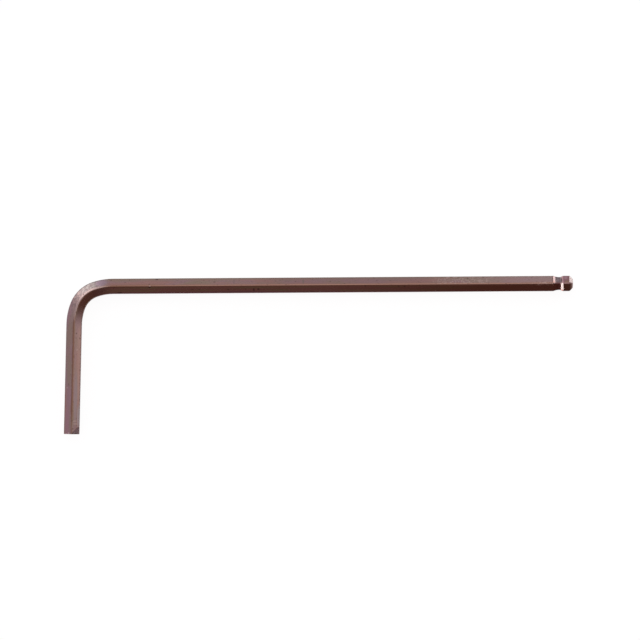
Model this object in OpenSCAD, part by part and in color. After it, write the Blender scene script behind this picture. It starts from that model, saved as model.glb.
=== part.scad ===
// Ball-end hex key: one piece of drawn hexagonal steel bar, bent to an L and
// lying flat on two of its edges. Millimetres, +Z up.
// The long arm runs along +X to the ball end, and the short arm runs towards -Y.

/* [Bar] */
// Size of the key, across two opposite flats
across_flats = 4; // [3:0.1:5]
// Radius that the drawn bar has along its six edges
edge_r = 0.4; // [0.1:0.05:0.6]
/* [Arms] */
// Long arm, from the outer flat of the short arm to the tip
long_arm = 133; // [90:1:180]
// Short arm, from the outer flat of the long arm to its cropped end
short_arm = 40.8; // [30:0.2:70]
// Angle between the two arms
arm_angle = 91.7; // [90:0.1:95]
/* [Bend] */
// Radius of the middle of the bend, at the bar's axis
bend_r = 7.4; // [6:0.1:9]
// Radius of the easing arc at each end of the bend, at the bar's axis
ease_r = 15.2; // [12:0.1:20]
// Angle that each easing arc turns through
ease_angle = 18.4; // [8:0.2:25]
// How much thinner the bar is across its flats in the easing arcs than in the arms,
// and again in the middle of the bend than in the easing arcs
draw_in = 0.01; // [0.006:0.002:0.02]
/* [Ball end] */
// Length of the neck that is milled into each flat behind the ball
neck_length = 2.6; // [2.3:0.05:3]
// Depth of the neck below each flat
neck_depth = 0.33; // [0.2:0.01:0.5]
// Radius of the long hollow that leads down into the neck
hollow_r = 4.2; // [3.5:0.1:5]
// Radius at the bottom of the neck
neck_fillet_r = 0.6; // [0.3:0.05:1]
// Slope up from the neck to the ball
rear_slope = 25; // [20:1:32]
// Length of the ball's full-size flats
ball_land = 1.68; // [1:0.02:2.5]
// Slope of the flats down to the tip
front_slope = 45; // [35:1:50]
// Length of that front slope
front_length = 0.85; // [0.4:0.05:1.1]
// Radius of the crown on the tip's face
crown_r = 8; // [5:0.5:20]
/* [Cropped end] */
// Distance that the broken corner reaches along the short arm
break_length = 1.5; // [0.5:0.1:3]
// Width of sound flat beside the step, from the top edge
break_start = 1.2; // [0.4:0.1:1.6]
// Slope of the broken face below the flat
break_slope = 16; // [8:1:25]

/* [Hidden] */
$fn = 96;

// Bar section: half its size, the edge arcs' centres and the height of an edge
half_af = across_flats / 2;
edge_centre = (half_af - edge_r) / cos(30);
axis_height = edge_centre + edge_r;
sharp_radius = half_af / cos(30);

// Arms, measured from the corner where the two axes would meet
long_reach = long_arm - half_af;
short_reach = short_arm - half_af;
short_heading = -arm_angle;

// Bend: the middle arc's centre lies on the line that halves the arms' angle
turn = 180 - arm_angle;
radius_step = ease_r - bend_r;
tangent_length = (ease_r - radius_step * cos(ease_angle)) / tan(arm_angle / 2)
    + radius_step * sin(ease_angle);

// Direction from an arc's centre to the bar's axis, for the angle turned so far
function outward(turned) = [-sin(turned), cos(turned)];
long_ease_centre = [tangent_length, -ease_r];
middle_centre = long_ease_centre + radius_step * outward(ease_angle);
short_ease_centre = middle_centre - radius_step * outward(turn - ease_angle);

// Corners of the short arm's end, for the origin under the middle of the key
function short_end(side) = [
    short_reach * cos(short_heading) - side * sin(short_heading),
    short_reach * sin(short_heading) + side * cos(short_heading)
];
middle_x = (long_reach + short_end(-half_af)[0]) / 2;
middle_y = (half_af + short_end(half_af)[1]) / 2;

// Ball end, counted along the long arm from the shoulder where the neck starts
face_radius = half_af - front_length * tan(front_slope);
crown_drop = crown_r - sqrt(crown_r * crown_r - face_radius * face_radius);
ball_end_length = neck_length + ball_land + front_length + crown_drop;

// Neck outline: the hollow, the slope up to the ball and the fillet that
// touches both. Its points have x along the bar and y above the flat.
hollow_centre = [
    sqrt(neck_depth * (2 * hollow_r - neck_depth)),
    hollow_r - neck_depth
];
slope_top = [neck_length, 0];
slope_dir = [cos(rear_slope), sin(rear_slope)];
slope_normal = [-sin(rear_slope), cos(rear_slope)];
hollow_offset = hollow_centre - slope_top;
fillet_gap = hollow_r - neck_fillet_r;
fillet_height = hollow_offset * slope_normal - neck_fillet_r;
fillet_along = hollow_offset * slope_dir
    - sqrt(fillet_gap * fillet_gap - fillet_height * fillet_height);
fillet_on_slope = slope_top + fillet_along * slope_dir;
fillet_centre = fillet_on_slope + neck_fillet_r * slope_normal;
fillet_arm = fillet_centre - hollow_centre;
shoulder_angle = atan2(-hollow_centre[1], -hollow_centre[0]);
fillet_angle = atan2(fillet_arm[1], fillet_arm[0]);

// Distance that cutting shapes reach past the bar
clear = 1;

// Angle by which each drawn-in piece of the bend runs on inside its neighbour
lap_angle = 0.8;

// Points along an arc in the given number of equal steps
function arc(centre, radius, from, to, steps) = [
    for (i = [0:steps])
        let (angle = from + (to - from) * i / steps)
            centre + radius * [cos(angle), sin(angle)]
];
edge_steps = 4;
hollow_steps = 12;
fillet_steps = 4;

// Hexagon with one edge up and one down, and a radius on every edge
module bar_section(thinner = 0) {
    scale(1 - thinner / across_flats)
        polygon([
            for (k = [0:5])
                let (edge = 60 * k + 30)
                    each arc(
                        edge_centre * [cos(edge), sin(edge)],
                        edge_r, edge - 30, edge + 30, edge_steps
                    )
        ]);
}

// Straight bar from the origin along +X
module bar(length) {
    rotate([90, 0, 90])
        linear_extrude(height = length)
            bar_section();
}

// Bent bar round an arc's centre, from the angle already turned through a further one
module bent_bar(centre, radius, turned, further, thinner) {
    translate(centre)
        rotate_extrude(angle = further, start = 90 + turned)
            translate([radius, 0])
                bar_section(thinner);
}

// Outline across two opposite flats: full size up to the shoulder at the origin,
// then the hollow, the fillet, the slope up to the ball, its land and the front slope
module ball_outline(arm_length) {
    front_start = neck_length + ball_land;
    front_end = front_start + front_length + clear;
    above_flat = concat(
        [[-arm_length, clear], [-clear, clear]],
        arc(hollow_centre, hollow_r, shoulder_angle, fillet_angle, hollow_steps),
        arc(fillet_centre, neck_fillet_r, fillet_angle, rear_slope - 90, fillet_steps),
        [
            slope_top + slope_dir * clear / sin(rear_slope) / 3,
            [front_start - clear / tan(front_slope) / 3, clear / 3],
            [front_end, (front_start - front_end) * tan(front_slope)]
        ]
    );
    upper = [for (p = above_flat) [p[0], half_af + p[1]]];
    lower = [for (i = [len(upper) - 1:-1:0]) [upper[i][0], -upper[i][1]]];
    polygon(concat(upper, lower));
}

// What the crown takes off a flat tip at the origin
module crown_cut() {
    difference() {
        translate([-clear, -across_flats, -across_flats])
            cube([2 * clear, 2 * across_flats, 2 * across_flats]);
        translate([-crown_r, 0, 0])
            rotate([0, 0, 180])
                sphere(r = crown_r);
    }
}

// Long arm, from the end of the bend to the crowned tip: the ball end is the bar's
// section and three outlines, one across each pair of flats, cut by each other
module long_arm_bar() {
    length = long_reach - tangent_length;
    translate([tangent_length, 0, 0])
        difference() {
            intersection() {
                bar(length);
                translate([length - ball_end_length, 0, 0])
                    intersection_for (k = [0:2])
                        rotate([60 * k, 0, 0])
                            translate([0, 0, -across_flats])
                                linear_extrude(height = 2 * across_flats)
                                    ball_outline(length);
            }
            translate([length, 0, 0])
                crown_cut();
        }
}

// What is broken off the flat below z = 0, whose top edge is y = 0 and whose end
// is x = 0: a face that slopes away from a slanting line, back to a square step
module broken_corner() {
    reach = break_length + across_flats;
    intersection() {
        rotate([0, 0, -atan2(break_start, break_length)])
            rotate([-break_slope, 0, 0])
                translate([-reach, 0, 0])
                    cube([2 * reach, reach, reach]);
        translate([-break_length, -reach, -reach])
            cube([break_length + clear, 2 * reach, 2 * reach]);
    }
}

// Short arm, from the end of the bend to its cropped end
module short_arm_bar() {
    rotate([0, 0, short_heading])
        difference() {
            translate([tangent_length, 0, 0])
                bar(short_reach - tangent_length);
            translate([short_reach, 0, sharp_radius])
                rotate([-30, 0, 0])
                    broken_corner();
        }
}

module hex_key() {
    color([0.40, 0.29, 0.26])
        translate([-middle_x, -middle_y, axis_height])
            union() {
                long_arm_bar();
                bent_bar(long_ease_centre, ease_r, -lap_angle, ease_angle + lap_angle, draw_in);
                bent_bar(middle_centre, bend_r, ease_angle - lap_angle,
                    turn - 2 * (ease_angle - lap_angle), 2 * draw_in);
                bent_bar(short_ease_centre, ease_r, turn - ease_angle,
                    ease_angle + lap_angle, draw_in);
                short_arm_bar();
            }
}

hex_key();
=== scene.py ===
# %% [markdown]
# A hex key is one length of drawn hexagonal steel bar. The maker crops the bar, mills a
# ball on one end, bends it to an L, hardens it and leaves the brown film of the heat
# treatment on it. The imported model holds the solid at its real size, so the lesson starts
# by loading it, and every new surface is placed by what it says.

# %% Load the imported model
import math
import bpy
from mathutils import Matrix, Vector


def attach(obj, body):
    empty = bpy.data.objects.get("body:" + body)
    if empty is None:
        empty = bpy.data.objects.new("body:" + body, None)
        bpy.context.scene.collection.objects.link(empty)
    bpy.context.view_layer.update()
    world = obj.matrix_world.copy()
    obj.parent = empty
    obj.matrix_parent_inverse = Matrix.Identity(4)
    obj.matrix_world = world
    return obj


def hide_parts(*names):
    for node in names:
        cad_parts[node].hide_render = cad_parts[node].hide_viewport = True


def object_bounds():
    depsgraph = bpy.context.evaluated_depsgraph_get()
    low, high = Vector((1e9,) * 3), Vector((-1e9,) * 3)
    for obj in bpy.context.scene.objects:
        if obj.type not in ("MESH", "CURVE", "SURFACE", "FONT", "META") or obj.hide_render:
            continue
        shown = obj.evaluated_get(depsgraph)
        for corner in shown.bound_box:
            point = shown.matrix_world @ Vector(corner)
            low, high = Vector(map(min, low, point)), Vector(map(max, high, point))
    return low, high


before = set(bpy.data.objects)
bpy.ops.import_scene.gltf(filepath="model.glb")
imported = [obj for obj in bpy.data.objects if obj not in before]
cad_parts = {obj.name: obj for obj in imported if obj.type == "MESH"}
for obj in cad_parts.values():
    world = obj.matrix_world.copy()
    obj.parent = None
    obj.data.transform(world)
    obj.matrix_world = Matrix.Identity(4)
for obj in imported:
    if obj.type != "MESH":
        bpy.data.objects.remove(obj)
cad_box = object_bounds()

from types import SimpleNamespace

import bpy
import numpy as np

print("packed model's box in mm:", [[round(1000 * v, 3) for v in corner] for corner in cad_box])

# %% [markdown]
# The bar's sizes are written once, in millimetres, with the same meaning as on a drawing of
# the key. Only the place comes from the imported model: the tip ends at the box's highest x,
# and the outer flat of the long arm is its highest y.

# %% Sizes of the key
MM = 0.001
across_flats = 4.0
edge_radius = 0.4
long_arm = 133.0
short_arm = 40.8
arm_angle = math.radians(91.7)
bend_radius = 7.4
ease_radius = 15.2
ease_angle = math.radians(18.4)

half_flats = across_flats / 2
edge_centre = (half_flats - edge_radius) / math.cos(math.pi / 6)
axis_height = edge_centre + edge_radius
sharp_radius = half_flats / math.cos(math.pi / 6)
box_low, box_high = (np.array(corner) / MM for corner in cad_box)
print("height across two edges, worked out and packed:", 2 * axis_height, box_high[2] - box_low[2])

# %% [markdown]
# The middle line of the bar is a straight, an easing arc, a tighter arc, a second easing
# arc and a straight. A curve object with handles could follow it, but then the exact bend
# is lost. Each stretch has one curvature, so its points come from the chord formula: a
# chord of an arc is its length times sinc of half the turn, and it points along the
# heading at the middle of the arc. The same formula holds for a straight.

# %% Middle line of the bar
turn = math.pi - arm_angle
radius_step = ease_radius - bend_radius
tangent_length = (
    (ease_radius - radius_step * math.cos(ease_angle)) / math.tan(arm_angle / 2)
    + radius_step * math.sin(ease_angle)
)
stretches = np.array([
    [short_arm - half_flats - tangent_length, 0.0],
    [ease_radius * ease_angle, -1 / ease_radius],
    [bend_radius * (turn - 2 * ease_angle), -1 / bend_radius],
    [ease_radius * ease_angle, -1 / ease_radius],
    [long_arm - half_flats - tangent_length, 0.0],
])
knot_along = np.concatenate([[0.0], np.cumsum(stretches[:, 0])])
knot_heading = turn + np.concatenate([[0.0], np.cumsum(stretches[:, 0] * stretches[:, 1])])
bend_start, bend_end = knot_along[1], knot_along[4]
bar_length = knot_along[-1]


def chord(start_heading, curvature, length):
    """Vector along an arc: length * sinc(half the turn), at the heading halfway."""
    half_turn = curvature * length / 2
    reach = length * np.sinc(half_turn / np.pi)
    heading = start_heading + half_turn
    return np.stack([reach * np.cos(heading), reach * np.sin(heading)], axis=-1)


knot_point = np.zeros((len(knot_along), 2))
knot_point[1:] = np.cumsum(chord(knot_heading[:-1], stretches[:, 1], stretches[:, 0]), axis=0)
knot_point += [box_high[0], box_high[1] - half_flats] - knot_point[-1]


def middle_line(along):
    """Point and heading at each distance from the short arm's end, as arc formulas."""
    piece = np.clip(np.searchsorted(knot_along, along, side="right") - 1, 0, len(stretches) - 1)
    past = along - knot_along[piece]
    point = knot_point[piece] + chord(knot_heading[piece], stretches[piece, 1], past)
    return point, knot_heading[piece] + stretches[piece, 1] * past


print("length of the bar's middle line in mm:", round(bar_length, 3))

# %% [markdown]
# The section is a hexagon with a small radius on its edges. It is written as a distance
# from the middle for each angle: half the size over the cosine to the nearest flat, and the
# far side of a small circle near an edge. A distance for each angle makes the milled ball
# simple later, because a cut is only a smaller distance. Angles count from the outside of
# the L, and a quarter turn is up, so the two flats that the camera sees face 60 and 120
# degrees.

# %% Section of the drawn bar
SECTOR = math.pi / 3
outer_flat = SECTOR
inner_flat = 2 * SECTOR
flat_half_width = edge_centre * math.sin(math.pi / 6)
flat_half_angle = math.atan2(flat_half_width, half_flats)


def from_flat(angle):
    """Angle to the nearest flat's middle: the angle folded into plus or minus 30 degrees."""
    return np.mod(angle + SECTOR / 2, SECTOR) - SECTOR / 2


def drawn_distance(angle):
    """Middle to surface: half / cos to the flat, or the edge circle's far side."""
    off_flat = from_flat(angle)
    off_edge = SECTOR / 2 - np.abs(off_flat)
    inside = edge_radius**2 - (edge_centre * np.sin(off_edge))**2
    on_edge = edge_centre * np.cos(off_edge) + np.sqrt(np.maximum(inside, 0.0))
    on_flat = half_flats / np.cos(off_flat)
    return np.where(np.abs(off_flat) <= flat_half_angle, on_flat, on_edge)


def column_angles(on_flat, on_edge):
    """Angles round the section: close together at each edge, and in steps across each flat."""
    eased = np.sin(np.linspace(-np.pi / 2, np.pi / 2, on_flat + 1))
    across = np.arctan(eased * flat_half_width / half_flats)
    round_edge = np.linspace(flat_half_angle, SECTOR - flat_half_angle, on_edge + 1)
    one_sector = np.concatenate([across[:-1], round_edge[:-1]])
    return np.concatenate([one_sector + k * SECTOR for k in range(6)])


angles = column_angles(on_flat=14, on_edge=8)
print("points round the section:", len(angles), "widest:", drawn_distance(angles).max())

# %% [markdown]
# The ball end is form milled: one cutter outline sweeps along each of the six flats. From
# the shoulder there is a long shallow hollow, a tight fillet, a slope up to the ball, its
# land and a steep slope to the tip. The outline is a depth below the flat for each distance
# from the shoulder, and a cut hexagon of that smaller size meets the bar's section.

# %% Outline of the ball end
neck_length = 2.6
neck_depth = 0.33
hollow_radius = 4.2
neck_fillet = 0.6
rear_slope = math.radians(25)
ball_land = 1.68
front_slope = math.radians(45)
front_length = 0.85
crown_radius = 8.0

face_radius = half_flats - front_length * math.tan(front_slope)
crown_drop = crown_radius - math.sqrt(crown_radius**2 - face_radius**2)
front_start = neck_length + ball_land
ball_end_length = front_start + front_length + crown_drop
shoulder_along = bar_length - ball_end_length

hollow_centre = np.array([
    math.sqrt(neck_depth * (2 * hollow_radius - neck_depth)),
    hollow_radius - neck_depth,
])
slope_dir = np.array([math.cos(rear_slope), math.sin(rear_slope)])
slope_normal = np.array([-math.sin(rear_slope), math.cos(rear_slope)])
to_hollow = hollow_centre - [neck_length, 0.0]
fillet_height = to_hollow @ slope_normal - neck_fillet
fillet_along = to_hollow @ slope_dir - math.sqrt(
    (hollow_radius - neck_fillet)**2 - fillet_height**2
)
fillet_end = np.array([neck_length, 0.0]) + fillet_along * slope_dir
fillet_centre = fillet_end + neck_fillet * slope_normal
spread = (fillet_centre - hollow_centre) / (hollow_radius - neck_fillet)
fillet_start = hollow_centre + hollow_radius * spread


def below_arc(x, centre, radius):
    """Depth of a circle that hangs above the flat: sqrt(r^2 - (x - cx)^2) - cy."""
    inside = radius**2 - (x - centre[0])**2
    return np.sqrt(np.maximum(inside, 0.0)) - centre[1]


def flat_depth(x):
    """Depth of the milled outline below the flat, x along the bar from the shoulder."""
    return np.select(
        [x < 0, x < fillet_start[0], x < fillet_end[0], x < neck_length, x < front_start],
        [
            0.0,
            below_arc(x, hollow_centre, hollow_radius),
            below_arc(x, fillet_centre, neck_fillet),
            (neck_length - x) * math.tan(rear_slope),
            0.0,
        ],
        (x - front_start) * math.tan(front_slope),
    )


deepest = flat_depth(np.linspace(0, neck_length, 301)).max()
print("deepest point of the neck in mm:", round(float(deepest), 3))

# %% [markdown]
# At the cropped end a corner is broken off the upper flat on the inside of the L. The break
# is a face that slopes away below the flat, from a slanting line back to a square step. On a
# distance for each angle it is one more limit: the sloping plane, met along each angle. The
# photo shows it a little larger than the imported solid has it, so its two sizes are written
# here again.

# %% Broken corner
break_length = 1.9
break_start = 2.0
break_slope = math.radians(16)
step_width = 0.05
least_rate = 0.2


def break_limit(along, angle):
    """Distance to the sloping plane along each angle: its reach over the rate at which
    that angle nears it. Behind the step, or where the rate is too small, there is no limit.
    """
    slant = math.atan2(break_start, break_length)
    fall = math.tan(break_slope)
    off = angle - inner_flat
    toward_flat = np.cos(off)
    down_flat = np.sin(off)
    reach = half_flats - fall * (
        -along * math.sin(slant) + sharp_radius / 2 * math.cos(slant)
    )
    rate = toward_flat + fall * math.cos(slant) * down_flat
    plane = np.where(rate > least_rate, reach / np.maximum(rate, least_rate), sharp_radius)
    behind = np.clip((along - break_length) / step_width, 0.0, 1.0)
    return plane + behind * sharp_radius


print("break's depth at the middle of the cropped end's flat in mm:",
      round(half_flats - float(break_limit(0.0, inner_flat)), 3))

# %% [markdown]
# Now the pieces meet. The surface has two parameters, the distance along the bar and the
# angle round it, and both are grids. Rows lie close together where the form changes fast:
# at the cropped end, round the bend and over the ball. The tip's rows end on the crown, a
# shallow sphere, so each column has its own last distance.

# %% Rows along the bar
cropped_round = 0.06
cropped_round_rows = 4
tip_rows = 8

# Where each stretch of rows starts, and the step between its rows, in mm.
row_stretches = [
    (cropped_round, 0.04),
    (break_length, step_width),
    (break_length + 2 * step_width, 0.25),
    (8.0, 0.6),
    (bend_start - 1.0, 0.14),
    (bend_end + 1.0, 0.8),
    (shoulder_along - 6.0, 0.2),
    (shoulder_along - 0.3, 0.05),
    (shoulder_along, 0.08),
    (shoulder_along + fillet_start[0], 0.03),
    (shoulder_along + fillet_end[0], 0.06),
    (shoulder_along + neck_length, 0.12),
]


def even_rows(start, end, step):
    """Evenly spaced distances from start up to, but without, end."""
    count = max(1, int(round((end - start) / step)))
    return np.linspace(start, end, count, endpoint=False)


def body_rows():
    """Distances of the rows from the cropped end to where the front slope starts."""
    part = np.linspace(0, np.pi / 2, cropped_round_rows + 1)[:-1]
    ends = [start for start, _ in row_stretches[1:]] + [shoulder_along + front_start]
    spans = [even_rows(start, end, step) for (start, step), end in zip(row_stretches, ends)]
    return np.concatenate([cropped_round * (1 - np.cos(part)), *spans])


def crown_edge(angle):
    """Distance from the shoulder where the front slope meets the crown's sphere, found by
    taking turns between the slope's size and the sphere's height at that size.
    """
    x = np.full_like(angle, ball_end_length)
    for _ in range(12):
        size = (half_flats - flat_depth(x)) / np.cos(from_flat(angle))
        x = ball_end_length - crown_radius + np.sqrt(crown_radius**2 - size**2)
    return x


def surface_distance(along, angle):
    """Middle to surface: the least of the drawn bar, the milled hexagon and the break, less
    the small round at the cropped end.
    """
    x = along - shoulder_along
    milled = (half_flats - flat_depth(x)) / np.cos(from_flat(angle))
    worn = cropped_round - np.sqrt(
        np.maximum(cropped_round**2 - np.maximum(cropped_round - along, 0.0)**2, 0.0)
    )
    whole = np.minimum(np.minimum(drawn_distance(angle), milled), break_limit(along, angle))
    return whole - worn


rows = body_rows()
along_body = np.repeat(rows[:, None], len(angles), axis=1)
tip_part = np.linspace(0, 1, tip_rows + 1)[:, None]
along_front = shoulder_along + front_start + tip_part * (crown_edge(angles) - front_start)
along_grid = np.concatenate([along_body, along_front])
angle_grid = np.repeat(angles[None, :], len(along_grid), axis=0)
distance_grid = surface_distance(along_grid, angle_grid)
print("rows and columns of the wall:", along_grid.shape)

# %% [markdown]
# Each end is closed by rings that shrink to one middle point. The cropped end is flat. The
# tip's rings ride on the crown: the sphere drops by the radius less the root of radius
# squared less distance squared.

# %% Ends of the bar
ring_share = np.array([0.97, 0.85, 0.6, 0.3])


def end_rings(edge_distance, height):
    """Rings inside an end: the edge's distances times each share, and height over them."""
    distance = ring_share[:, None] * edge_distance[None, :]
    return distance, height(distance)


def crown_along(distance):
    """The crown at a distance from the middle, as distance along the bar."""
    drop = crown_radius - np.sqrt(crown_radius**2 - distance**2)
    return bar_length - drop


flat_distance, flat_along = end_rings(distance_grid[0], np.zeros_like)
tip_distance, tip_along = end_rings(distance_grid[-1], crown_along)
along_all = np.concatenate([flat_along[::-1], along_grid, tip_along])
distance_all = np.concatenate([flat_distance[::-1], distance_grid, tip_distance])
angle_all = np.repeat(angles[None, :], len(along_all), axis=0)
print("rows with the rings of both ends:", len(along_all))

# %% [markdown]
# The grids become places in the frame: along the middle line, then out to the side by
# distance times cosine and up by distance times sine. The same numbers on a straight bar
# are kept as an attribute, so that a pattern can follow the bar round the bend.

# %% Places in the frame
def place(along, distance, angle):
    """Middle line + side * distance * cos(angle) + up * distance * sin(angle), in mm."""
    point, heading = middle_line(along)
    side = distance * np.cos(angle)
    return np.stack([
        point[..., 0] - np.sin(heading) * side,
        point[..., 1] + np.cos(heading) * side,
        axis_height + distance * np.sin(angle),
    ], axis=-1)


def straight_bar(along, distance, angle):
    """The same point if the bar were never bent: along, across and up, in mm."""
    return np.stack([
        along,
        distance * np.cos(angle),
        distance * np.sin(angle),
    ], axis=-1)


poles_along = np.array([0.0, bar_length])
poles = place(poles_along, np.zeros(2), np.zeros(2))
points = np.concatenate([place(along_all, distance_all, angle_all).reshape(-1, 3), poles])
straight = np.concatenate([
    straight_bar(along_all, distance_all, angle_all).reshape(-1, 3),
    straight_bar(poles_along, np.zeros(2), np.zeros(2)),
])
print("lowest and highest point in mm:", points.min(axis=0).round(3), points.max(axis=0).round(3))

# %% [markdown]
# Each face joins four neighbours of the grid, and triangles close both ends on their middle
# points. A bevel modifier could soften the edges, but here the rows already hold every
# radius, so smooth shading is enough. Edges that turn further than the radii's small steps
# are marked sharp, which keeps the milled corners crisp.

# %% Faces between the rows
sharp_turn = math.radians(19)
row_count, column_count = along_all.shape
vertex = np.arange(row_count * column_count).reshape(row_count, column_count)
beside = np.roll(vertex, -1, axis=1)
quads = np.stack([vertex[:-1], beside[:-1], beside[1:], vertex[1:]], axis=-1).reshape(-1, 4)
first_pole, last_pole = row_count * column_count, row_count * column_count + 1
first_fan = np.stack([np.full(column_count, first_pole), beside[0], vertex[0]], axis=-1)
last_fan = np.stack([np.full(column_count, last_pole), vertex[-1], beside[-1]], axis=-1)


def new_mesh(name, places, four_sided, three_sided):
    """A mesh from arrays: places in mm, and faces as rows of point numbers."""
    mesh = bpy.data.meshes.new(name)
    mesh.from_pydata(places * MM, [], four_sided.tolist() + three_sided.tolist())
    mesh.validate()
    mesh.polygons.foreach_set("use_smooth", np.ones(len(mesh.polygons), dtype=bool))
    mesh.set_sharp_from_angle(angle=sharp_turn)
    return mesh


key_mesh = new_mesh("hex_key_surface", points, quads, np.concatenate([first_fan, last_fan]))
key = bpy.data.objects.new("hex_key_surface", key_mesh)
bpy.context.scene.collection.objects.link(key)
print("faces:", len(key_mesh.polygons))

# %% [markdown]
# The finish needs to know what only the shape knows, so five attributes are stored on the
# points: where a point lies on the straight bar, how close it is to a rounded edge, which
# slopes of the ball are bare steel with a painted highlight, where shade is painted on a
# slope of the ball, and where the neck's cutter or the break laid the steel bare. Painting
# by hand would do it once; a rule follows the sizes.
# The rules come first.

# %% Rules for the finish
# Rows lie right on some borders and on the break's plane, so tests allow a small margin.
hair = 0.01
touching = 0.001
edge_reach = 0.8
side_edge_wear = 0.5
bare_depth = 0.03
flat_cosine = 0.85
flat_cosine_rise = 0.03
border_angle = math.radians(7)
rim_start = front_start + 0.72 * front_length
# Shade is painted on the inner flat's front slope up to here.
painted_slope_shade_end = front_start + 0.6 * front_length
shine_end = front_start + front_length - 0.03
rim_shine = 0.3
slope_shine = 0.1


def nearness_to_edge(distance, angle):
    """1 on an edge, falling to 0 within edge_reach; less on the four side edges."""
    off_edge = SECTOR / 2 - np.abs(from_flat(angle))
    along_flat = distance * np.sin(off_edge)
    wear = np.where(np.abs(np.sin(angle)) > math.sin(SECTOR), 1.0, side_edge_wear)
    return wear * np.clip(1 - along_flat / edge_reach, 0.0, 1.0)


def faces(angle, flat):
    """1 over one flat and 0 over its neighbours, from the cosine of the angle between."""
    return np.clip((np.cos(angle - flat) - flat_cosine) / flat_cosine_rise, 0.0, 1.0)


def inside_border(angle, flat):
    """1 over one flat but for a strip by the border that has the larger angle."""
    return faces(angle, flat) * faces(angle, flat - border_angle)


def bright_slope(x, angle):
    """Bare steel with a painted highlight: the outer flat's front slope, the inner flat's
    rear slope, and a little of the other front slopes and of the tip's rim. x counts from
    the shoulder.
    """
    # Full bare steel only on the two slopes that catch the light: partly a painted highlight.
    in_front = x > front_start - hair
    on_rear = (x > fillet_end[0] - hair) & (x < neck_length)
    faint = np.where(x >= rim_start, rim_shine, slope_shine * (1 - faces(angle, inner_flat)))
    full = inside_border(angle, outer_flat) * (x < shine_end)
    return in_front * np.maximum(full, faint) + on_rear * inside_border(angle, inner_flat)


def painted_slope_shade_mask(x, angle):
    """Painted shade on the inner flat's front slope, up to near the tip's rim."""
    return (x > front_start - hair) * (x < painted_slope_shade_end) * faces(angle, inner_flat)


def is_broken(along, angle, distance):
    """True where the surface lies on the broken corner's plane."""
    return break_limit(along, angle) <= distance + touching


def is_bare(x):
    """True in the neck, where the cutter took the brown film off."""
    return (x > 0.0) & (x < fillet_end[0]) & (flat_depth(x) > bare_depth)


mid_ball = neck_length + ball_land / 2
sample = bright_slope(np.array([mid_ball, rim_start]), outer_flat)
print("brightness on the outer flat's land and front slope:", sample)

# %% [markdown]
# Each rule is now worked out on the whole grid at once and stored on the mesh's points. The
# two middle points of the ends aren't in the grid, so theirs are added last.

# %% Attributes on the points
def store(mesh, name, kind, values):
    """One attribute on the points: kind is FLOAT or FLOAT_VECTOR."""
    layer = mesh.attributes.new(name, kind, "POINT")
    layer.data.foreach_set("vector" if kind == "FLOAT_VECTOR" else "value", values.ravel())


def with_poles(values, first, last):
    """The grid's values in order, then one for each end's middle point."""
    return np.append(values, [first, last])


past_shoulder = along_all - shoulder_along
broken_all = is_broken(along_all, angle_all, distance_all)
edge_all = nearness_to_edge(distance_all, angle_all) * (1 - broken_all)
bright_all = bright_slope(past_shoulder, angle_all)
cut_all = (is_bare(past_shoulder) | broken_all).astype(float)
store(key_mesh, "bar", "FLOAT_VECTOR", straight)
store(key_mesh, "edge", "FLOAT", with_poles(edge_all, 0.0, 0.0))
# The bright attribute is bare steel, partly a painted highlight.
store(key_mesh, "bright", "FLOAT", with_poles(bright_all, 0.0, rim_shine))
# Where shade is painted on the inner flat's front slope.
store(key_mesh, "soot", "FLOAT", with_poles(painted_slope_shade_mask(past_shoulder, angle_all), 0.0, 0.0))
store(key_mesh, "cut", "FLOAT", with_poles(cut_all, 1.0, 0.0))
for name, values in (("edge", edge_all), ("bright", bright_all), ("cut", cut_all)):
    print(name, "marks", int((values > 0).sum()), "points")

# %% [markdown]
# Shader maths reads best as maths. One small class wraps a socket, and its operators add
# the Math nodes. Everything else comes from one method that takes a node's type, its
# settings and the values or links of its sockets.

# %% Material maths
spot_core, spot_border = 0.55, 1.25


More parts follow.
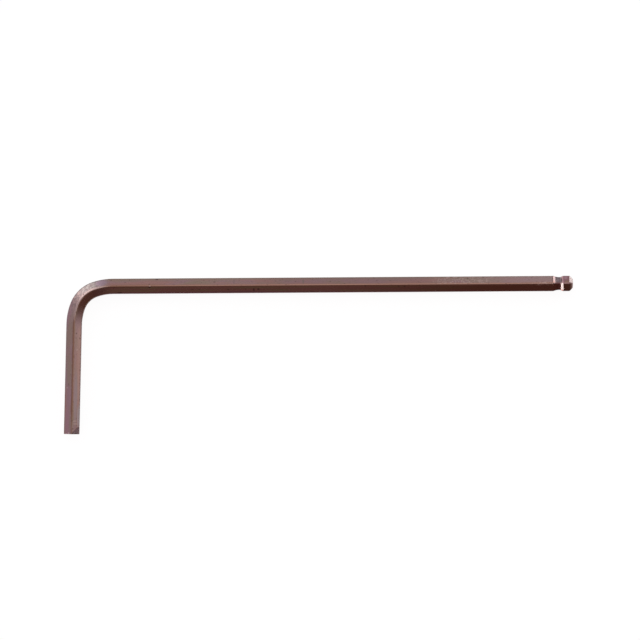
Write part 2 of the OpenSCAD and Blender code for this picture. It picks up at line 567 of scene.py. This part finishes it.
class Maths:
    """A socket of a node tree that can be added, multiplied and mixed."""

    def __init__(self, tree, socket):
        self.tree = tree
        self.socket = socket

    def node(self, kind, settings=None, inputs=None, output=0):
        """A new node: its settings first, then its sockets by name or number."""
        made = self.tree.nodes.new(kind)
        for name, value in (settings or {}).items():
            setattr(made, name, value)
        for name, value in (inputs or {}).items():
            if isinstance(value, Maths):
                self.tree.links.new(value.socket, made.inputs[name])
            else:
                made.inputs[name].default_value = value
        return Maths(self.tree, made.outputs[output] if made.outputs else None)

    def math(self, operation, *values):
        """A Math node with that operation on the values."""
        return self.node("ShaderNodeMath", {"operation": operation}, dict(enumerate(values)))

    def __add__(self, other):
        return self.math("ADD", self, other)

    __radd__ = __add__

    def __mul__(self, other):
        return self.math("MULTIPLY", self, other)

    __rmul__ = __mul__

    def __sub__(self, other):
        return self.math("SUBTRACT", self, other)

    def __rsub__(self, other):
        return self.math("SUBTRACT", other, self)

    def ramp(self, low, high, smooth=True):
        """0 below low and 1 above high, with a soft or a straight rise."""
        settings = {"interpolation_type": "SMOOTHSTEP" if smooth else "LINEAR"}
        return self.node("ShaderNodeMapRange", settings, {"Value": self, 1: low, 2: high})

    def window(self, start, full, fade, end):
        """1 from full to fade and 0 outside start and end: one ramp less a second one."""
        return self.ramp(start, full) - self.ramp(fade, end)

    def scaled(self, stretch):
        """A vector socket times a vector, by Vector Math."""
        return self.node("ShaderNodeVectorMath", {"operation": "MULTIPLY"}, {0: self, 1: stretch})

    def noise(self, along, across, detail=3.0, roughness=0.5):
        """Noise from 0 to 1 on a place on the bar; along and across are cells per mm."""
        return self.node("ShaderNodeTexNoise", None, {
            "Vector": self.scaled((along, across, across)), "Scale": 1.0,
            "Detail": detail, "Roughness": roughness,
        })

    def spot(self, along, degrees, half_length, half_width):
        """1 in a soft oval on the bar's surface: 1 less the rise of the distance from its
        middle, counted in half sizes.
        """
        turned = math.radians(degrees)
        radius = float(drawn_distance(turned))
        centre = (along, radius * math.cos(turned), radius * math.sin(turned))
        sizes = (1 / half_length, 1 / half_width, 1 / half_width)
        apart = self.node("ShaderNodeVectorMath", {"operation": "SUBTRACT"}, {0: self, 1: centre})
        length = apart.node(
            "ShaderNodeVectorMath", {"operation": "LENGTH"}, {0: apart.scaled(sizes)}, output=1,
        )
        return 1 - length.ramp(spot_core, spot_border)

    def blend(self, low, high):
        """Colour low where this is 0 and colour high where it is 1."""
        made = self.tree.nodes.new("ShaderNodeMix")
        made.data_type = "RGBA"
        self.tree.links.new(self.socket, made.inputs[0])
        for socket, value in ((made.inputs[6], low), (made.inputs[7], high)):
            if isinstance(value, Maths):
                self.tree.links.new(value.socket, socket)
            else:
                socket.default_value = (*value, 1.0)
        return Maths(self.tree, made.outputs[2])


def new_tree(owner):
    """Empty node tree of a material or a world, as a Maths without a socket."""
    owner.use_nodes = True
    owner.node_tree.nodes.clear()
    return Maths(owner.node_tree, None)


# %% [markdown]
# The finish is steel with the thin brown film of hardening. In the shader it is a metal, and
# the film tints the reflection. An image texture would need a photo of each flat; noises
# need none and follow the bend, as they read the straight bar's attribute. This cell gathers
# what the next ones share: the place on the bar, the stored attributes, the noises and some
# stretches. Each noise has longer cells along the bar than across, as drawing leaves them.

# %% What the finish reads
side_blend = (-0.3, 0.1)
bent_stretch = (bend_start + 2.0, bend_start + 7.0, bend_end - 4.0, bend_end)
stretched_side = (-0.4, 0.8)
broken_stretch = (5.0, 10.0)


def read_bar(tree):
    """The sockets that the layers of the film share, by name."""
    bar = tree.node("ShaderNodeAttribute", {"attribute_name": "bar"}, output=1)
    along, outward = (
        bar.node("ShaderNodeSeparateXYZ", None, {0: bar}, output=axis) for axis in (0, 1)
    )
    stored = {
        name: tree.node("ShaderNodeAttribute", {"attribute_name": name}, output=2)
        for name in ("edge", "bright", "soot", "cut")
    }
    bent = along.window(*bent_stretch)
    return SimpleNamespace(
        bar=bar, along=along, outward=outward, **stored,
        clouds=bar.noise(0.13, 0.50, detail=4.0, roughness=0.55),
        tints=bar.noise(0.09, 0.75),
        streaks=bar.noise(0.07, 1.5),
        lines=bar.noise(0.12, 9.0, detail=2.0),
        peel=bar.noise(2.2, 3.0, roughness=0.6),
        specks=bar.noise(1.6, 2.6, detail=1.0),
        grain=bar.noise(1.5, 1.9, roughness=0.7),
        upper=outward.ramp(*side_blend),
        on_long_arm=along.ramp(bend_end - 4.0, bend_end),
        by_shoulder=along.ramp(shoulder_along - 6.5, shoulder_along - 4.0),
        on_ball=along.ramp(shoulder_along + fillet_end[0], shoulder_along + neck_length),
        stretched=bent * outward.ramp(*stretched_side),
        broken=stored["cut"] * (1 - along.ramp(*broken_stretch)),
    )


print("bent stretch in mm along the bar:", [round(float(end), 1) for end in bent_stretch])

# %% [markdown]
# Heat tints are never even. The outer flats carry clouds of mauve, olive and pink brown. The
# long arm's inner flat has streaks of red and olive brown and is purple by its lower edge,
# and towards the ball it is painted darker, as painted shade. A colour ramp on one noise
# would give bands of all tones in a fixed order, so each tone is mixed in by its own noise
# or place.

# %% Clouded film
brown_mauve = (0.244, 0.162, 0.163)
brown_olive = (0.222, 0.168, 0.130)
brown_pink = (0.268, 0.158, 0.136)
inner_red = (0.262, 0.155, 0.140)
inner_olive = (0.232, 0.188, 0.128)
inner_purple = (0.225, 0.132, 0.150)
# Painted shade that the inner flat darkens to towards the ball.
inner_painted_shade = (0.152, 0.064, 0.046)
olive_clouds, pink_tints, olive_streaks = (0.38, 0.62), (0.46, 0.66), (0.42, 0.60)
raggedness = 0.8
inner_blend = (-0.35, 0.0)
deeper_stretch, deeper_share = (95.0, 150.0), 0.85
lower_strip = (-1.8, -1.3)
outer_strip = (1.35, 1.8)


def clouded_film(at):
    """Three tones in clouds, and on the long arm's inner flat streaks of their own, with painted shade
    towards the ball.
    """
    film = at.clouds.ramp(*olive_clouds).blend(brown_mauve, brown_olive)
    film = at.tints.ramp(*pink_tints).blend(film, brown_pink)
    inner = at.streaks.ramp(*olive_streaks).blend(inner_red, inner_olive)
    ragged = at.outward + (at.streaks - 0.5) * raggedness
    inner = ragged.ramp(*lower_strip).blend(inner_purple, inner)
    # Painted shade: the inner flat grows darker towards the ball.
    inner = (at.along.ramp(*deeper_stretch) * deeper_share).blend(inner, inner_painted_shade)
    inner_side = at.on_long_arm * (1 - at.outward.ramp(*inner_blend))
    film = inner_side.blend(film, inner)
    return (at.on_long_arm * at.outward.ramp(*outer_strip)).blend(film, brown_olive)


print("inner flat's tones, from the bend to the ball:", inner_red, inner_olive, inner_painted_shade)

# %% [markdown]
# Use changes the film where hands and holders touch it. The short arm's inner flat is rubbed
# to a sandy pink, the long arm is darker where it is held, paler towards the ball, and pink
# along its ridge. These are broad stretches with soft ends, so a window on the distance
# along the bar is all that each needs.

# %% Handled and rubbed stretches
rubbed_side = (0.370, 0.235, 0.215)
brown_handled = (0.175, 0.115, 0.108)
brown_pale = (0.305, 0.225, 0.222)
brown_ball = (0.225, 0.125, 0.130)
rubbed_stretch, rubbed_flat = (2.0, 12.0, 26.5, 30.0), (-0.3, -0.1)
least_rub, more_rub, rub_strip = 0.25, 0.45, (-1.7, -0.6)
ridge_strip, ridge_tints, ridge_share = (-0.2, 0.2, 0.4, 1.3), (0.3, 0.6), 0.6
held_stretch, held_share = (78.0, 92.0, 124.0, 136.0), 0.35
pale_stretch, pale_share = (132.0, 158.0), 0.6


def handled_film(at, film):
    """The film with its rubbed, held and pale stretches, and the ball's own brown."""
    rubbed = at.along.window(*rubbed_stretch) * (1 - at.outward.ramp(*rubbed_flat))
    rub_share = least_rub + more_rub * (1 - at.outward.ramp(*rub_strip))
    film = (rubbed * rub_share).blend(film, rubbed_side)
    ridge = at.on_long_arm * at.outward.window(*ridge_strip) * at.tints.ramp(*ridge_tints)
    film = (ridge * ridge_share).blend(film, brown_pink)
    film = (at.along.window(*held_stretch) * at.upper * held_share).blend(film, brown_handled)
    film = (at.along.ramp(*pale_stretch) * at.upper * pale_share).blend(film, brown_pale)
    return (at.on_ball * at.upper).blend(film, brown_ball)


print("the long arm is held from and to, in mm along the bar:", held_stretch[0], held_stretch[-1])

# %% [markdown]
# Bending stretches the outside of the bar, and the film cracks to a pale grain there: pink
# where the bend starts, and grey further on. Real cracks as geometry would be far too fine
# to see, so it is a colour, with a little extra height in the bump.

# %% Stretched film on the bend
worn_dark = (0.175, 0.140, 0.130)
worn_pink = (0.300, 0.218, 0.190)
worn_grey = (0.262, 0.232, 0.208)
pink_to_grey = (36.0, 38.5)
pale_grain = (0.40, 0.58)


def stretched_film(at, film):
    """The film, broken up by pale grain on the outside of the bend."""
    worn = at.along.ramp(*pink_to_grey).blend(worn_pink, worn_grey)
    worn = at.grain.ramp(*pale_grain).blend(worn_dark, worn)
    return at.stretched.blend(film, worn)


print("the grain turns from pink to grey, in mm along the bar:", pink_to_grey)

# %% [markdown]
# The bar's edges lose their film first. The edge attribute says how near an edge is, and
# noises move its border in and out, because an even strip looks printed. The tone changes
# along the bar: dull on the short arm, pale round the bend, brown on the long arm. Along
# the ridge the worn strip also stands in for the edge's highlight: the pale round the bend
# and the pale flecks by the shoulder are painted highlight as well as wear.

# %% Worn edges, partly painted highlight
dull_edge = (0.195, 0.108, 0.074)
brown_edge = (0.255, 0.150, 0.112)
pale_pink = (0.40, 0.31, 0.28)
dull_to_brown = (bend_end - 6.0, bend_end + 26.0)
# Painted highlight: the edges' pale tone round the bend.
painted_ridge_highlight, painted_ridge_highlight_share = (bend_start, bend_start + 4.0, bend_end - 4.0, bend_end), 0.8
flecks_in_peel, fleck_share = (0.48, 0.60), 0.65
peel_wear, tint_wear, shoulder_wear = 0.5, 0.6, 0.8
ball_guard, crop_guard, cropped_stretch = 0.45, 0.2, (2.0, 7.0)
wear_border = (0.38, 0.85)


def edged_film(at, film):
    """The film with its worn edges, partly painted highlight, which are narrower on the ball and the
    cropped end.
    """
    tone = at.along.ramp(*dull_to_brown).blend(dull_edge, brown_edge)
    tone = (at.along.window(*painted_ridge_highlight) * painted_ridge_highlight_share).blend(tone, pale_pink)
    # Pale flecks by the shoulder: wear and painted highlight on the ridge.
    flecks = at.by_shoulder * at.peel.ramp(*flecks_in_peel) * fleck_share
    tone = flecks.blend(tone, pale_pink)
    wear = at.edge + (at.peel - 0.5) * peel_wear + (at.tints - 0.5) * tint_wear
    wear = wear + at.by_shoulder * (at.peel - 0.4) * shoulder_wear
    wear = wear - ball_guard * at.on_ball
    wear = wear - crop_guard * (1 - at.along.ramp(*cropped_stretch))
    return wear.ramp(*wear_border).blend(film, tone)


print("wear reaches this far from an edge, in mm:", edge_reach)

# %% [markdown]
# Nicks, stains and specks make this key the one in the photo, and a few marks by the neck
# are painted shade and a painted highlight. Each is a soft oval on the surface, and a list
# holds them, because a mark is quicker to move in a list than in a picture. Very small
# dark specks elsewhere come from a noise.

# %% Nicks, stains, specks and painted light by the neck
bare_stripe = (0.262, 0.198, 0.202)
dark_speck = (0.10, 0.065, 0.055)
faint_line = (0.35, 0.265, 0.235)
faint_smudge = (0.175, 0.130, 0.115)
lilac = (0.260, 0.195, 0.215)
mauve = (0.256, 0.157, 0.160)
grey_rim = (0.300, 0.245, 0.250)
# Painted light by the neck: shade along the shoulder that makes its highlight slant, a highlight in the
# hollow, and spots of shade.
shoulder_painted_shade = (0.150, 0.095, 0.085)
neck_painted_highlight = (0.205, 0.175, 0.190)
painted_shade_spot = (0.075, 0.052, 0.050)
ball_pink = (0.300, 0.185, 0.205)
ball_brown = (0.235, 0.150, 0.115)
dark_specks = (0.69, 0.76)
scuffed_stretch, scuffed_flat = (128.0, 132.0, 142.0, 146.0), (0.0, 0.3)
scuffs_in_peel = (0.50, 0.62)

# Distance along the bar, degrees round it, half length and half width in mm, and colour.
marks = [
    (42.3, 52, 1.50, 1.00, lilac),
    (9.5, 117, 7.00, 0.55, bare_stripe),
    (2.8, 54, 5.00, 0.60, mauve),
    (4.6, 143, 3.20, 0.42, grey_rim),
    (3.46, 113, 0.13, 0.65, faint_line),
    (2.72, 118, 0.13, 0.65, faint_line),
    (1.42, 100, 0.15, 0.18, dark_speck),
    (0.23, 69, 0.20, 0.30, pale_pink),
    (0.15, 100, 0.12, 0.24, dark_speck),
    (0.15, 112, 0.10, 0.20, pale_pink),
    (0.12, 128, 0.14, 0.75, dark_speck),
    (0.75, 150, 0.50, 0.16, dark_speck),
    (26.5, 112, 0.18, 0.16, dark_speck),
    (25.3, 109, 0.10, 0.10, dark_speck),
    (22.2, 120, 0.16, 0.16, pale_pink),
    (16.9, 147, 0.18, 0.18, dark_speck),
    (12.2, 47, 0.14, 0.14, pale_pink),
    (54.9, 92, 0.24, 0.22, faint_line),
    (54.8, 100, 0.34, 0.20, dark_speck),
    (56.7, 36, 0.40, 0.25, dark_speck),
    (47.0, 142, 0.70, 0.20, dark_speck),
    (77.0, 58, 0.12, 0.90, faint_smudge),
    (95.2, 60, 0.25, 0.70, faint_smudge),
    (83.4, 120, 0.30, 0.28, dark_speck),
    (82.2, 123, 0.20, 0.50, dark_speck),
    (111.5, 98, 0.25, 0.18, dark_speck),
    (121.8, 104, 0.24, 0.20, dark_speck),
    # Painted light and shade by the neck: the shoulder's shade, spots of shade and a highlight.
    (160.82, 55, 0.14, 0.90, shoulder_painted_shade),
    (161.10, 76, 0.17, 0.45, shoulder_painted_shade),
    (161.30, 88, 0.50, 0.32, painted_shade_spot),
    (162.2, 57, 0.30, 0.50, neck_painted_highlight),
    (163.05, 62, 0.26, 0.85, painted_shade_spot),
    (164.2, 44, 0.50, 0.50, ball_pink),
    (164.5, 77, 0.70, 0.35, ball_brown),
]


def specked_film(at, film):
    """The film with small dark specks, and fine scuffs on the outer flat."""
    film = at.specks.ramp(*dark_specks).blend(film, dark_speck)
    scuffs = at.along.window(*scuffed_stretch) * at.outward.ramp(*scuffed_flat)
    return (scuffs * at.peel.ramp(*scuffs_in_peel)).blend(film, faint_line)


def marked_film(at, film):
    """The film with each listed mark laid over it in turn."""
    for along, degrees, half_length, half_width, tone in marks:
        film = at.bar.spot(along, degrees, half_length, half_width).blend(film, tone)
    return film


print("marks:", len(marks), "longest in mm:", 2 * max(half_length for _, _, half_length, _, _ in marks))

# %% [markdown]
# The cutter leaves bare steel. In the neck it has dulled to grey, and its inner side gets a
# darker brown copy of it as painted shade. Two of the ball's slopes are bare steel with a
# painted highlight, the others and the tip's rim get a little of it, and one slope has
# painted shade. The broken corner shows the steel's own grey. The stored attributes say
# where each lies, so the borders are as crisp as the milled corners.

# %% Cut and broken steel, painted highlight and shade
neck_steel = (0.166, 0.132, 0.134)
# Painted shade: a darker copy of the neck's steel for its inner side.
neck_painted_shade = (0.175, 0.085, 0.080)
broken_steel = (0.280, 0.215, 0.235)
# Painted shade for the inner flat's front slope.
painted_slope_shade_brown = (0.075, 0.032, 0.020)
# Bare steel, and where it is used in full a painted highlight.
bare_steel_and_painted_highlight = (0.77, 0.70, 0.67)
shade_to_steel = (0.0, 0.5)
film_left, film_in_peel = 0.35, (0.5, 0.7)


def bare_film(at, film):
    """The film, with bare steel in the neck and on the break, and painted shade on the neck's inner
    side.
    """
    # Painted shade on the inner side, fading out over the outer flat's first half mm.
    steel = at.outward.ramp(*shade_to_steel).blend(neck_painted_shade, neck_steel)
    steel = at.broken.blend(steel, broken_steel)
    bare = at.cut * (1 - film_left * at.peel.ramp(*film_in_peel))
    return bare.blend(film, steel)


def milled_slopes(at, film):
    """The film, with painted shade on one of the ball's slopes, and bare steel with a painted highlight
    on others.
    """
    # Painted shade on one front slope, then bare steel with a painted highlight.
    film = at.soot.blend(film, painted_slope_shade_brown)
    return at.bright.blend(film, bare_steel_and_painted_highlight)


print("film that is left in flecks on the cut steel:", film_left)

# %% [markdown]
# The layers are laid over each other in turn: the clouds, what hands rubbed, the bend's
# grain, the worn edges with their painted highlight, specks and scuffs, the cut steel, the
# marks, some of them painted light and shade, and the ball's slopes last, with painted
# highlight and shade. The film is semi-gloss. Peel and drawn lines change the roughness
# and the height only a little, and the bright slopes and the break are rougher.

# %% Brown steel
film_roughness = 0.22
peel_roughness, line_roughness = 0.10, 0.08
bright_roughness, broken_roughness = 0.30, 0.25
line_height, peel_height, stretched_height = 0.5, 0.5, 3.0
bump_strength = 0.12
bump_distance = 0.02 * MM


def brown_steel():
    """Metal with a clouded brown film, worn edges, marks and milled steel, and some painted highlight
    and shade.
    """
    material = bpy.data.materials.new("brown_steel_finish")
    tree = new_tree(material)
    at = read_bar(tree)
    colour = clouded_film(at)
    for layer in (
        handled_film, stretched_film, edged_film, specked_film, bare_film, marked_film,
        milled_slopes,
    ):
        colour = layer(at, colour)
    roughness = (
        film_roughness + peel_roughness * (at.peel - 0.5) + line_roughness * (at.lines - 0.5)
        + bright_roughness * at.bright + broken_roughness * at.broken
    )
    height = (
        line_height * at.lines + peel_height * at.peel
        + at.stretched * at.peel * stretched_height
    )
    bump = tree.node("ShaderNodeBump", None, {
        "Strength": bump_strength, "Distance": bump_distance, "Height": height,
    })
    shader = tree.node("ShaderNodeBsdfPrincipled", None, {
        "Base Color": colour, "Roughness": roughness, "Metallic": 1.0, "Normal": bump,
    })
    tree.node("ShaderNodeOutputMaterial", None, {"Surface": shader})
    return material


key_mesh.materials.append(brown_steel())
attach(key, "root")
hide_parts("hex_key")
print("finish:", key_mesh.materials[0].name, "nodes:", len(key_mesh.materials[0].node_tree.nodes))

# %% [markdown]
# The key lies on a pale table. To the camera the floor shows mostly its own even white, as
# in the photo, and a share of plain diffuse white keeps the key's faint shadow. All other
# rays, reflections too, see only the diffuse white, so the floor adds no light of its own.
# A plain white floor alone would come out uneven, and darker than the photo's ground.

# %% Floor
floor_half = 12.0
shadow_share = 0.10
white_strength = 1.045
floor_paint = (0.86, 0.86, 0.86)
pure_white = (1.0, 1.0, 1.0)


def pale_floor():
    """White for the camera, with a share that takes the shadow, and plain for other rays."""
    material = bpy.data.materials.new("pale_floor")
    tree = new_tree(material)
    plain = tree.node("ShaderNodeBsdfDiffuse", None, {"Color": (*floor_paint, 1.0)})
    white = tree.node("ShaderNodeEmission", None, {
        "Color": (*pure_white, 1.0), "Strength": white_strength,
    })
    camera_ray = tree.node("ShaderNodeLightPath", None, None, "Is Camera Ray")
    surface = tree.node("ShaderNodeMixShader", None, {
        0: camera_ray * (1 - shadow_share), 1: plain, 2: white,
    })
    tree.node("ShaderNodeOutputMaterial", None, {"Surface": surface})
    return material


floor_mesh = bpy.data.meshes.new("floor")
floor_mesh.from_pydata(
    [(-floor_half, -floor_half, 0), (floor_half, -floor_half, 0),
     (floor_half, floor_half, 0), (-floor_half, floor_half, 0)],
    [], [(0, 1, 2, 3)],
)
floor_mesh.materials.append(pale_floor())
floor = bpy.data.objects.new("floor", floor_mesh)
bpy.context.scene.collection.objects.link(floor)
print("floor's width in metres:", 2 * floor_half)

# %% [markdown]
# Polished metal shows the room, so the light is a tent: bright on the far side, and dim and
# warm on the near side, which the long arm's inner flat reflects. Soft boxes add light, such
# as the two low ones that the ball's milled slopes catch, and dimmed patches take some away.
# Area lamps could do it, but each would also light the other flats. A world that depends on
# the direction alone sets every flat's reflection by itself.

# %% Light tent
def direction(azimuth, elevation):
    """Unit vector: azimuth from +X towards +Y, elevation above the table, in degrees."""
    a, e = math.radians(azimuth), math.radians(elevation)
    return (math.cos(a) * math.cos(e), math.sin(a) * math.cos(e), math.sin(e))


# Each soft box: its direction in degrees, the angle from there that has full strength, the
# angle at its border, and the light it adds.
soft_boxes = [
    ("far left", (128, 30), 5, 22, (1.85, 1.85, 1.90)),
    ("far side, high", (90, 60), 12, 32, (0.50, 0.46, 0.42)),
    ("far right, low", (50, 13), 4, 12, (7.2, 6.6, 6.4)),
    ("near left, low", (-133, 12), 6, 14, (6.1, 5.9, 5.8)),
    ("near left, dim", (-126, 30), 15, 50, (0.24, 0.18, 0.18)),
    ("near right, dim", (-38, 30), 12, 40, (0.13, 0.075, 0.055)),
]
# Each dimmed patch: its direction, the two angles and the share of light that stays.
dim_patches = [
    ("left, high", (180, 60), 10, 30, 0.60),
    ("far side, low", (90, 30), 14, 42, 0.86),
]
far_left_side = (0.98, 0.88, 1.03)
far_right_side = (1.04, 0.99, 0.99)
near_side = (0.120, 0.058, 0.040)
black = (0.0, 0.0, 0.0)
tent_right, tent_far = (0, 0), (90, 22)
left_to_right = (-0.9, 0.9)
near_to_far = (-0.05, 0.16)


def light_tent():
    """World that lights by direction, and is white where the camera looks past the floor."""
    world = bpy.data.worlds.new("light_tent")
    tree = new_tree(world)
    look = tree.node("ShaderNodeTexCoord", output=3)

    def facing(azimuth, elevation):
        """Dot product of the look with a direction."""
        return look.node(
            "ShaderNodeVectorMath", {"operation": "DOT_PRODUCT"},
            {0: look, 1: direction(azimuth, elevation)}, output=1,
        )

    def patch(place, inner, outer):
        """1 within the inner angle of a direction, 0 beyond the outer one."""
        border, full = (math.cos(math.radians(angle)) for angle in (outer, inner))
        return facing(*place).ramp(border, full)

    across = facing(*tent_right).ramp(*left_to_right, smooth=False)
    far_side = across.blend(far_left_side, far_right_side)
    light = facing(*tent_far).ramp(*near_to_far).blend(near_side, far_side)
    for _, place, inner, outer, share in dim_patches:
        light = (patch(place, inner, outer) * (1 - share)).blend(light, black)
    for _, place, inner, outer, colour in soft_boxes:
        extra = patch(place, inner, outer).blend(black, colour)
        light = light.node("ShaderNodeVectorMath", {"operation": "ADD"}, {0: light, 1: extra})
    camera_ray = tree.node("ShaderNodeLightPath", None, None, "Is Camera Ray")
    seen = camera_ray.blend(light, pure_white)
    background = tree.node("ShaderNodeBackground", None, {"Color": seen, "Strength": 1.0})
    tree.node("ShaderNodeOutputWorld", None, {"Surface": background})
    return world


scene = bpy.context.scene
scene.world = light_tent()
print("soft boxes:", [name for name, *_ in soft_boxes])

# %% [markdown]
# The photograph looks straight down from over a metre away through a long lens, so nothing
# in it looks tilted or larger than its neighbour. The camera hangs over the middle of the
# picture, rolled by a third of a degree. An orthographic camera would come close, but a
# real lens has a slight spread.

# %% Camera
camera_height = 1176.0 + axis_height
camera_over = (0.45, 9.22)
camera_roll = math.radians(-0.37)
lens_mm = 251.4
sensor_mm = 36.0

camera_data = bpy.data.cameras.new("camera")
camera_data.lens = lens_mm
camera_data.sensor_width = sensor_mm
camera_data.clip_start = 0.01
camera_data.clip_end = 60.0
camera = bpy.data.objects.new("camera", camera_data)
camera.location = (camera_over[0] * MM, camera_over[1] * MM, camera_height * MM)
camera.rotation_euler = (0.0, 0.0, camera_roll)
scene.collection.objects.link(camera)
scene.camera = camera
scene.view_settings.view_transform = "Standard"
print("camera's height in mm:", camera_height)
